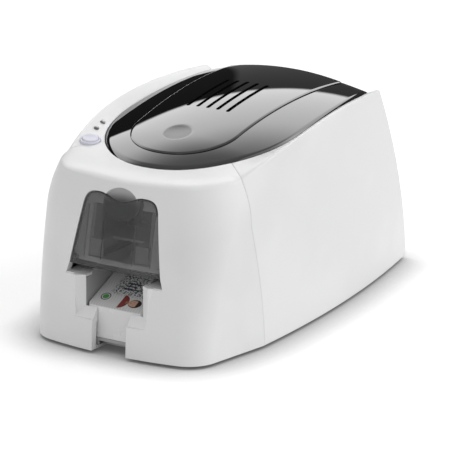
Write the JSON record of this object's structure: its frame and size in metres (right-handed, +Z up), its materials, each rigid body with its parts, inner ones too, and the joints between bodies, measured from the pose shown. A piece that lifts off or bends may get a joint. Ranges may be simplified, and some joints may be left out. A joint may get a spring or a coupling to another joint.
{
  "type": "id card printer",
  "caption": "Desktop card printer with a hinged glossy top cover, a smoked feeder flap, an output hopper with cards, and a geared print mechanism inside.",
  "frame": {"origin": "centre of the bounding box on the desk surface", "axes": "+Z up, the front with the feeder faces -Y, +X to the right seen from the front"},
  "size_m": [0.2052, 0.3811, 0.1907],
  "materials": {
    "white_casing": "fine satin texture",
    "grey_plastic": "satin",
    "gloss_black": "high gloss",
    "dark_plastic": "satin",
    "smoke_clear": "smoked transparent",
    "cup_grey": "satin",
    "card_white": "glossy",
    "frame_steel": "brushed",
    "shaft_steel": "polished",
    "rubber_dark": "matt",
    "rubber_blue": "tacky",
    "gear_white": "satin acetal",
    "brass_pinion": "machined",
    "ribbon_black": "glossy film",
    "button_pearl": "pearl",
    "light_pipe": "clear",
    "board_green": "solder mask",
    "socket_black": "moulded"
  },
  "bodies": {
    "casing": {"front_shell": "white_casing", "left_shell": "white_casing", "right_shell": "white_casing", "rear_panel": "white_casing", "base_tray": "grey_plastic", "deck_frame": "white_casing", "feeder_bezel": "white_casing", "scoop_cup": "cup_grey", "feeder_frame": "white_casing", "hopper_tray": "white_casing", "card_stack": "card_white", "frame_left": "frame_steel", "frame_right": "frame_steel", "frame_ties": "frame_steel", "card_guide": "dark_plastic", "drive_motor": "frame_steel", "ribbon_film": "ribbon_black", "ribbon_motor": "frame_steel", "button_ring": "shaft_steel", "status_lights": "light_pipe", "control_board": "board_green", "main_board": "board_green", "usb_socket": "shaft_steel", "power_socket": "socket_black", "switch_housing": "socket_black", "hinge_pins": "shaft_steel", "rubber_feet": "rubber_dark", "case_screws": "dark_plastic"},
    "cover": {"top_cover": "gloss_black", "cover_inlay": "gloss_black", "cover_liner": "dark_plastic", "cover_striker": "frame_steel", "print_head": "frame_steel", "head_bracket": "frame_steel"},
    "flap": {"feeder_flap": "smoke_clear"},
    "button": {"control_button": "button_pearl"},
    "rocker": {"power_switch": "socket_black"},
    "diverter": {"card_diverter": "dark_plastic"},
    "card": {"printed_card": "card_white"},
    "pick": {"pick_roller": "rubber_dark", "pick_gear": "gear_white"},
    "front_drive": {"front_roller": "rubber_dark", "front_gear": "gear_white"},
    "platen": {"platen_roller": "rubber_dark", "platen_gear": "gear_white"},
    "rear_drive": {"rear_roller": "rubber_dark", "rear_gear": "gear_white"},
    "idler_a": {"idler_front": "gear_white"},
    "idler_b": {"idler_middle": "gear_white"},
    "idler_c": {"idler_rear": "gear_white"},
    "pinion": {"motor_pinion": "brass_pinion"},
    "cleaner": {"cleaning_roller": "rubber_blue"},
    "pinch": {"pinch_roller": "rubber_dark"},
    "takeup": {"takeup_spool": "grey_plastic", "used_ribbon": "ribbon_black", "takeup_gear": "gear_white"},
    "supply": {"supply_spool": "grey_plastic", "supply_ribbon": "ribbon_black"},
    "winder": {"ribbon_pinion": "brass_pinion"}
  },
  "joints": [
    {"name": "cover_hinge", "type": "hinge", "parent": "casing", "child": "cover", "pos_m": [0, 0.098, 0.166], "axis": [-1, 0, 0], "range_deg": [0, 60]},
    {"name": "flap_hinge", "type": "hinge", "parent": "casing", "child": "flap", "pos_m": [0, -0.1766, 0.0785], "axis": [1, 0, 0], "range_deg": [0, 80]},
    {"name": "button_press", "type": "slide", "parent": "casing", "child": "button", "axis": [-0.1249, 0.1747, -0.9767], "range_m": [0, 0.0008], "stiffness_N_per_m": 600},
    {"name": "switch_rock", "type": "hinge", "parent": "casing", "child": "rocker", "pos_m": [-0.056, 0.18107, 0.02301], "axis": [1, 0, 0], "range_deg": [-9, 0]},
    {"name": "diverter_swing", "type": "hinge", "parent": "casing", "child": "diverter", "pos_m": [0, -0.067, 0.0904], "axis": [1, 0, 0], "range_deg": [0, 12]},
    {"name": "card_slide", "type": "slide", "parent": "casing", "child": "card", "axis": [0, -0.9272, -0.3746], "range_m": [0, 0.06]},
    {"name": "platen_spin", "type": "hinge", "parent": "casing", "child": "platen", "pos_m": [0, -0.028, 0.088], "axis": [1, 0, 0], "continuous": true},
    {"name": "pick_spin", "type": "hinge", "parent": "casing", "child": "pick", "pos_m": [0, -0.112, 0.088], "axis": [1, 0, 0], "continuous": true},
    {"name": "front_spin", "type": "hinge", "parent": "casing", "child": "front_drive", "pos_m": [0, -0.084, 0.088], "axis": [1, 0, 0], "continuous": true},
    {"name": "rear_spin", "type": "hinge", "parent": "casing", "child": "rear_drive", "pos_m": [0, 0.02, 0.088], "axis": [1, 0, 0], "continuous": true},
    {"name": "idler_a_spin", "type": "hinge", "parent": "casing", "child": "idler_a", "pos_m": [0, -0.098, 0.088], "axis": [1, 0, 0], "continuous": true},
    {"name": "idler_b_spin", "type": "hinge", "parent": "casing", "child": "idler_b", "pos_m": [0, -0.056, 0.088], "axis": [1, 0, 0], "continuous": true},
    {"name": "idler_c_spin", "type": "hinge", "parent": "casing", "child": "idler_c", "pos_m": [0, -0.004, 0.088], "axis": [1, 0, 0], "continuous": true},
    {"name": "pinion_spin", "type": "hinge", "parent": "casing", "child": "pinion", "pos_m": [0, -0.004, 0.066], "axis": [1, 0, 0], "continuous": true},
    {"name": "cleaner_spin", "type": "hinge", "parent": "casing", "child": "cleaner", "pos_m": [0, -0.084, 0.1009], "axis": [1, 0, 0], "continuous": true},
    {"name": "pinch_spin", "type": "hinge", "parent": "casing", "child": "pinch", "pos_m": [0, 0.02, 0.1019], "axis": [1, 0, 0], "continuous": true},
    {"name": "takeup_spin", "type": "hinge", "parent": "casing", "child": "takeup", "pos_m": [0, -0.08, 0.128], "axis": [1, 0, 0], "continuous": true},
    {"name": "supply_spin", "type": "hinge", "parent": "casing", "child": "supply", "pos_m": [0, 0.022, 0.128], "axis": [1, 0, 0], "continuous": true},
    {"name": "winder_spin", "type": "hinge", "parent": "casing", "child": "winder", "pos_m": [0, -0.09273, 0.11527], "axis": [1, 0, 0], "continuous": true}
  ],
  "couplings": [
    {"joint": "pick_spin", "follows": "platen_spin", "ratio": 1},
    {"joint": "front_spin", "follows": "platen_spin", "ratio": 1},
    {"joint": "rear_spin", "follows": "platen_spin", "ratio": 1},
    {"joint": "idler_a_spin", "follows": "platen_spin", "ratio": -1.3333},
    {"joint": "idler_b_spin", "follows": "platen_spin", "ratio": -0.4},
    {"joint": "idler_c_spin", "follows": "platen_spin", "ratio": -0.5},
    {"joint": "pinion_spin", "follows": "platen_spin", "ratio": 1.3333},
    {"joint": "cleaner_spin", "follows": "platen_spin", "ratio": -2},
    {"joint": "pinch_spin", "follows": "platen_spin", "ratio": -1.6},
    {"joint": "winder_spin", "follows": "takeup_spin", "ratio": -2},
    {"joint": "supply_spin", "follows": "takeup_spin", "ratio": 0.68421}
  ]
}
